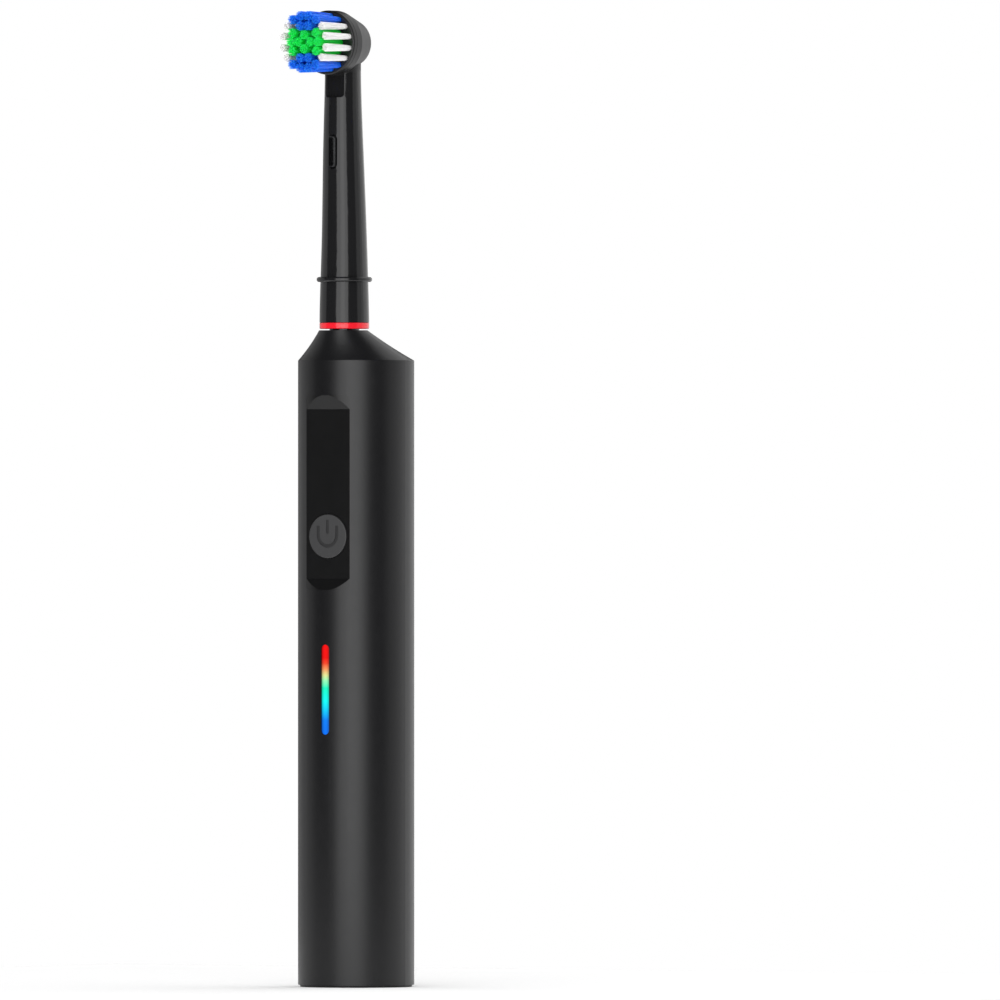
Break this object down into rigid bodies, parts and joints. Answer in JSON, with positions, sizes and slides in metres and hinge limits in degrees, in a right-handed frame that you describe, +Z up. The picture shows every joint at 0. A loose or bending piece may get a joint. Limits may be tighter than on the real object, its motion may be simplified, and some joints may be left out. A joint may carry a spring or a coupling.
{
  "type": "electric toothbrush",
  "caption": "Upright electric toothbrush with a round oscillating brush head, coloured ring, recessed front panel with power button, light bar and a charging well in its base.",
  "frame": {"origin": "centre of the charging well's mouth in the underside, in the plane the brush stands on", "axes": "+Z up along the handle's axis, towards the brush head; -Y is the front, where the button and the bristles face"},
  "size_m": [0.0286, 0.0386, 0.2399],
  "materials": {
    "black_plastic": "satin",
    "grip_rubber": "satin",
    "panel_black": "satin",
    "button_grey": "satin",
    "light_lens": "gloss",
    "clear_guide": "gloss",
    "neck_black": "gloss",
    "carrier_grey": "satin",
    "ring_red": "gloss",
    "frame_grey": "satin",
    "acetal_white": "satin",
    "steel": "brushed",
    "plated_can": "satin",
    "magnet": "matte",
    "copper": "satin",
    "brass": "satin",
    "bronze": "matte",
    "board_green": "satin",
    "chip_black": "matte",
    "lamp_white": "gloss",
    "cell_sleeve": "gloss",
    "foam": "matte",
    "seal_rubber": "matte",
    "nylon_blue": "satin",
    "nylon_green": "satin",
    "nylon_white": "satin"
  },
  "bodies": {
    "handle": {"handle_shell": "black_plastic", "front_panel": "panel_black", "light_bar": "light_lens", "rear_grip": "grip_rubber", "base_cap": "black_plastic", "nose_collar": "neck_black", "button_seal": "seal_rubber", "tactile_switch": "chip_black", "light_guide": "clear_guide", "indicator_leds": "lamp_white", "circuit_board": "board_green", "controller_chip": "chip_black", "board_components": "chip_black", "board_screws": "steel", "battery_cell": "cell_sleeve", "battery_terminal": "plated_can", "battery_tab_top": "plated_can", "battery_tab_bottom": "plated_can", "battery_pad": "foam", "charge_coil": "copper", "coil_bobbin": "acetal_white", "coil_pins": "plated_can", "base_seal": "seal_rubber", "chassis": "frame_grey", "motor_can": "plated_can", "motor_end_bell": "frame_grey", "motor_terminals": "copper", "motor_magnets": "magnet", "motor_bush": "bronze", "motor_screws": "steel", "gearbox_base": "frame_grey", "gearbox_cover": "frame_grey", "gearbox_screws": "steel", "gear_axle": "steel", "lower_bush": "bronze", "upper_bush": "bronze", "shaft_seal": "seal_rubber"},
    "button": {"button_cap": "button_grey", "switch_plunger": "acetal_white"},
    "motor_rotor": {"motor_armature": "copper", "motor_shaft": "steel", "motor_pinion": "brass"},
    "crank": {"crank_gear": "acetal_white", "crank_pin": "steel"},
    "crank_roller": {"crank_roller": "bronze"},
    "output_shaft": {"output_shaft": "steel", "rocker_arm": "steel", "shaft_clip": "steel"},
    "head": {"head_neck": "neck_black", "colour_ring": "ring_red", "pivot_pin": "steel"},
    "drive_rod": {"drive_socket": "acetal_white", "drive_rod": "steel"},
    "carrier": {"bristle_carrier": "carrier_grey", "tufts_blue": "nylon_blue", "tufts_green": "nylon_green", "tufts_white": "nylon_white"}
  },
  "joints": [
    {"name": "button_press", "type": "slide", "parent": "handle", "child": "button", "axis": [0, 1, 0], "range_m": [0, 0.0005], "stiffness_N_per_m": 200, "springref_m": -0.0015},
    {"name": "motor_spin", "type": "hinge", "parent": "handle", "child": "motor_rotor", "pos_m": [0, 0.0061, 0.118], "axis": [0, 0, 1], "continuous": true},
    {"name": "crank_turn", "type": "hinge", "parent": "handle", "child": "crank", "pos_m": [0, 0.0001, 0.119], "axis": [0, 0, 1], "continuous": true},
    {"name": "roller_spin", "type": "hinge", "parent": "crank", "child": "crank_roller", "pos_m": [0, 0.0024, 0.123], "axis": [0, 0, 1], "continuous": true},
    {"name": "shaft_swing", "type": "hinge", "parent": "handle", "child": "output_shaft", "pos_m": [0, -0.0054, 0.15], "axis": [0, 0, 1], "range_deg": [-25, 25]},
    {"name": "head_pull", "type": "slide", "parent": "handle", "child": "head", "axis": [0, 0, 1], "range_m": [0, 0.025]},
    {"name": "rod_swing", "type": "hinge", "parent": "head", "child": "drive_rod", "pos_m": [0, -0.0054, 0.2], "axis": [0, 0, 1], "range_deg": [-25, 25]},
    {"name": "carrier_swing", "type": "hinge", "parent": "head", "child": "carrier", "pos_m": [0, -0.0105, 0.232], "axis": [0, -1, 0], "range_deg": [-21, 21]}
  ],
  "couplings": [
    {"joint": "crank_turn", "follows": "motor_spin", "ratio": -0.5},
    {"joint": "rod_swing", "follows": "shaft_swing", "ratio": 1},
    {"joint": "carrier_swing", "follows": "shaft_swing", "ratio": 0.83}
  ]
}
